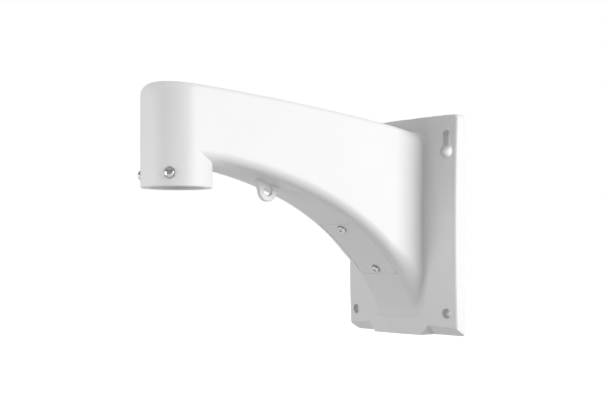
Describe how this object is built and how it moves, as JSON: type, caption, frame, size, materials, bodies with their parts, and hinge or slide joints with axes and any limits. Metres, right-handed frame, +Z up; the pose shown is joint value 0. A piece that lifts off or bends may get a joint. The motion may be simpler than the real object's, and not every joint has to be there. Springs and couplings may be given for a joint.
{
  "type": "ptz camera wall-mount arm",
  "caption": "Wall-mount arm for a PTZ dome camera: cast hollow arm with a round spigot socket, keyholed wall plate, screwed access cover and safety-rope lug.",
  "frame": {"origin": "centre of the wall plate's back face, on the wall", "axes": "+Z up, the arm reaches along -Y away from the wall, +X across the plate"},
  "size_m": [0.153, 0.3055, 0.2236],
  "materials": {
    "powder_coat": "fine satin powder coat",
    "nickel": "bright nickel plate",
    "brass": "plain turned brass",
    "rubber": "matt moulded rubber"
  },
  "bodies": {
    "arm": {"arm_casting": "powder_coat", "neck_seal_ring": "rubber", "wall_gasket": "rubber", "earth_screw": "brass", "earth_washer": "brass"},
    "cover": {"access_cover": "powder_coat", "cover_gasket": "rubber"},
    "cover_washer_upper": {"cover_washer_upper": "nickel"},
    "cover_screw_upper": {"cover_screw_upper": "nickel"},
    "cover_washer_lower": {"cover_washer_lower": "nickel"},
    "cover_screw_lower": {"cover_screw_lower": "nickel"},
    "neck_washer_right": {"neck_washer_right": "nickel"},
    "neck_screw_right": {"neck_screw_right": "nickel"},
    "neck_washer_left": {"neck_washer_left": "nickel"},
    "neck_screw_left": {"neck_screw_left": "nickel"},
    "neck_washer_rear": {"neck_washer_rear": "nickel"},
    "neck_screw_rear": {"neck_screw_rear": "nickel"}
  },
  "joints": [
    {"name": "cover_lift", "type": "slide", "parent": "arm", "child": "cover", "axis": [0, -0.6561, -0.7547], "range_m": [0, 0.03]},
    {"name": "cover_upper_travel", "type": "slide", "parent": "cover", "child": "cover_washer_upper", "axis": [0, -0.6561, -0.7547], "range_m": [0, 0.0077]},
    {"name": "cover_upper_turn", "type": "hinge", "parent": "cover_washer_upper", "child": "cover_screw_upper", "pos_m": [0, -0.08789, -0.00121], "axis": [0, -0.6561, -0.7547], "range_deg": [0, 3960]},
    {"name": "cover_lower_travel", "type": "slide", "parent": "cover", "child": "cover_washer_lower", "axis": [0, -0.6561, -0.7547], "range_m": [0, 0.0077]},
    {"name": "cover_lower_turn", "type": "hinge", "parent": "cover_washer_lower", "child": "cover_screw_lower", "pos_m": [0, -0.04411, -0.03926], "axis": [0, -0.6561, -0.7547], "range_deg": [0, 3960]},
    {"name": "neck_right_travel", "type": "slide", "parent": "arm", "child": "neck_washer_right", "axis": [0.7314, -0.682, 0], "range_m": [0, 0.0077]},
    {"name": "neck_right_turn", "type": "hinge", "parent": "neck_washer_right", "child": "neck_screw_right", "pos_m": [0.02194, -0.29546, 0.0402], "axis": [0.7314, -0.682, 0], "range_deg": [0, 3960]},
    {"name": "neck_left_travel", "type": "slide", "parent": "arm", "child": "neck_washer_left", "axis": [-0.7314, -0.682, 0], "range_m": [0, 0.0077]},
    {"name": "neck_left_turn", "type": "hinge", "parent": "neck_washer_left", "child": "neck_screw_left", "pos_m": [-0.02194, -0.29546, 0.0402], "axis": [-0.7314, -0.682, 0], "range_deg": [0, 3960]},
    {"name": "neck_rear_travel", "type": "slide", "parent": "arm", "child": "neck_washer_rear", "axis": [0, 1, 0], "range_m": [0, 0.0077]},
    {"name": "neck_rear_turn", "type": "hinge", "parent": "neck_washer_rear", "child": "neck_screw_rear", "pos_m": [0, -0.245, 0.0402], "axis": [0, 1, 0], "range_deg": [0, 3960]}
  ],
  "couplings": [
    {"joint": "cover_upper_turn", "follows": "cover_upper_travel", "rad_per_m": 8976},
    {"joint": "cover_lower_turn", "follows": "cover_lower_travel", "rad_per_m": 8976},
    {"joint": "neck_right_turn", "follows": "neck_right_travel", "rad_per_m": 8976},
    {"joint": "neck_left_turn", "follows": "neck_left_travel", "rad_per_m": 8976},
    {"joint": "neck_rear_turn", "follows": "neck_rear_travel", "rad_per_m": 8976}
  ]
}
